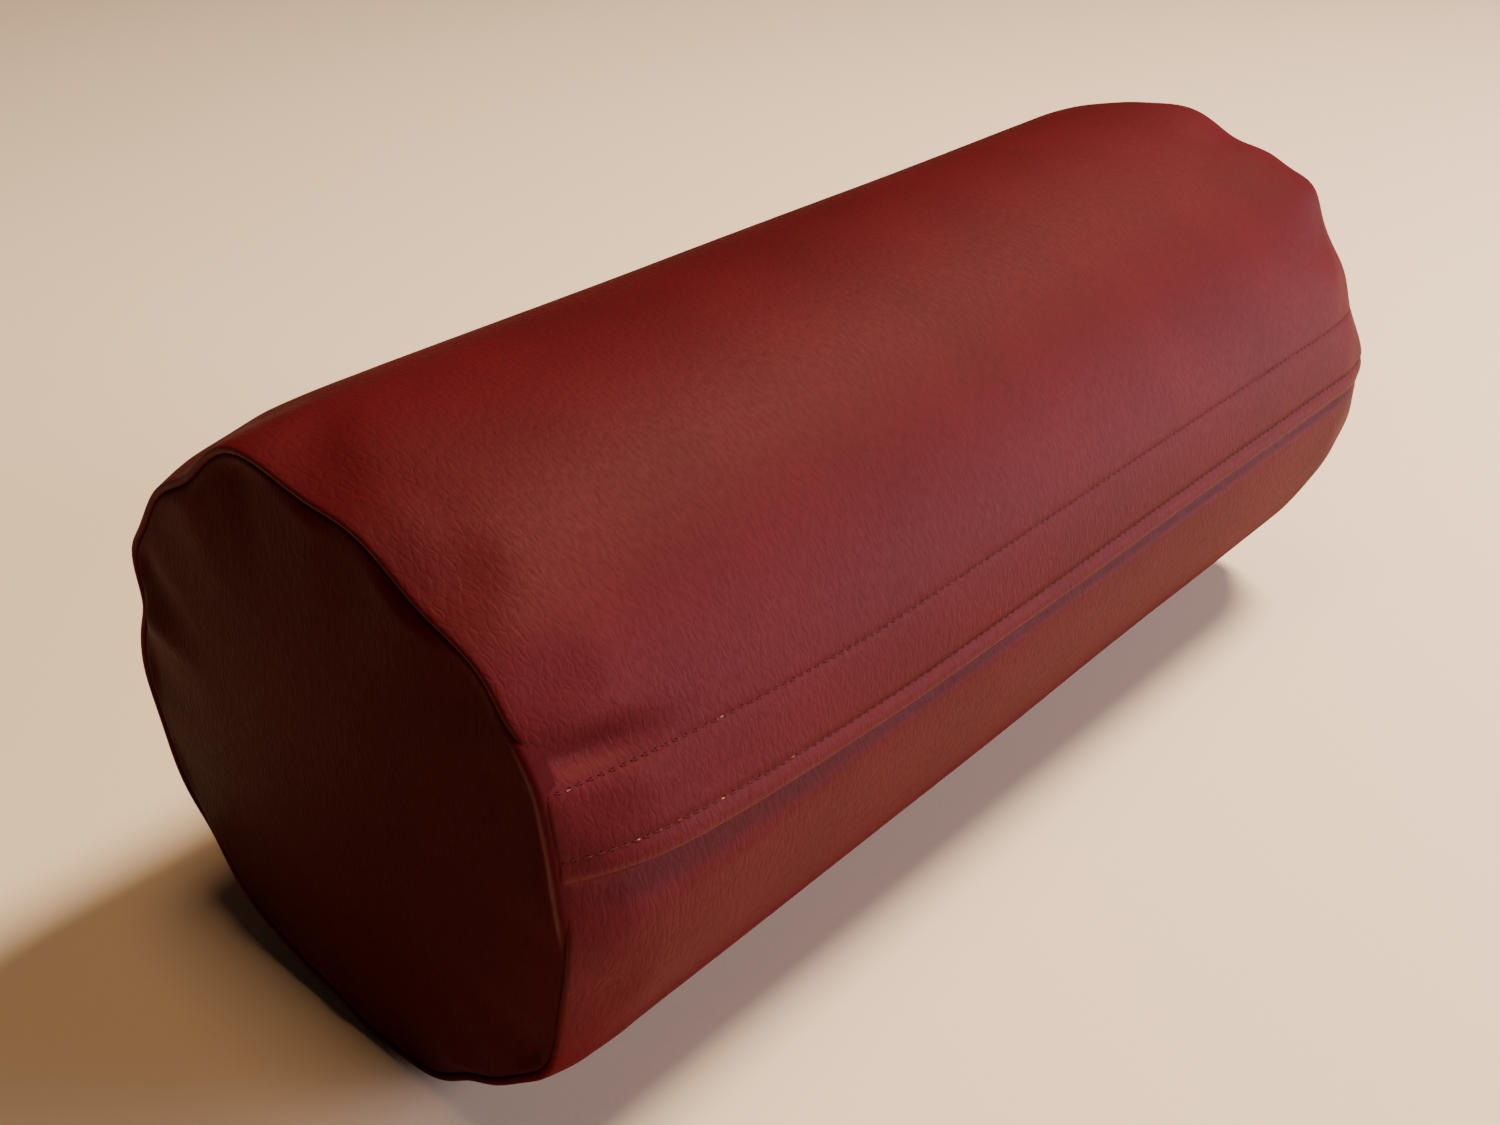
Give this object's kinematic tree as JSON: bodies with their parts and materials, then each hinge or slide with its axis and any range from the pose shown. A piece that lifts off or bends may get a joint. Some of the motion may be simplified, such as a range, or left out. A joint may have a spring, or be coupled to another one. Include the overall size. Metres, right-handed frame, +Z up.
{
  "type": "bolster pillow",
  "caption": "Full-round massage bolster: zipped vinyl cover with gathered end discs over a foam core wrapped in batting; the zip placket's flap lifts and the slider runs along the chain.",
  "frame": {"origin": "centre of the flat underneath that the pillow rests on", "axes": "+X along the pillow to its right end, +Z up, zip placket on the -Y side"},
  "size_m": [0.448, 0.2, 0.1975],
  "materials": {
    "vinyl": "satin",
    "thread": "satin",
    "zip_tape": "matte",
    "zip_coil": "satin",
    "zip_metal": "satin",
    "batting": "matte",
    "foam": "matte"
  },
  "bodies": {
    "cover": {"body_panel": "vinyl", "end_panel_left": "vinyl", "end_panel_right": "vinyl", "topstitch_upper": "thread", "flap_edge_stitches_ends": "thread", "underlap_thread": "thread", "end_seam_thread_left": "thread", "end_seam_thread_right": "thread", "zip_tape_upper": "zip_tape", "zip_tape_lower": "zip_tape", "zip_coil_upper": "zip_coil", "zip_coil_lower": "zip_coil", "zip_top_stops": "zip_metal", "zip_bottom_stop": "zip_metal", "batting_wrap": "batting", "batting_end_left": "batting", "batting_end_right": "batting", "foam_core": "foam"},
    "flap": {"placket_flap": "vinyl", "flap_edge_stitches": "thread"},
    "slider": {"zip_slider": "zip_metal"},
    "pull": {"zip_pull": "zip_metal"}
  },
  "joints": [
    {"name": "flap_lift", "type": "hinge", "parent": "cover", "child": "flap", "pos_m": [0, -0.09489, 0.12911], "axis": [-1, 0, 0], "range_deg": [0, 75]},
    {"name": "zip_slide", "type": "slide", "parent": "cover", "child": "slider", "axis": [1, 0, 0], "range_m": [0, 0.331]},
    {"name": "pull_swing", "type": "hinge", "parent": "slider", "child": "pull", "pos_m": [-0.1655, -0.09426, 0.11628], "axis": [0, -0.1949, -0.9808], "range_deg": [0, 42]}
  ],
  "couplings": [
    {"joint": "pull_swing", "follows": "flap_lift", "ratio": 0.55}
  ]
}
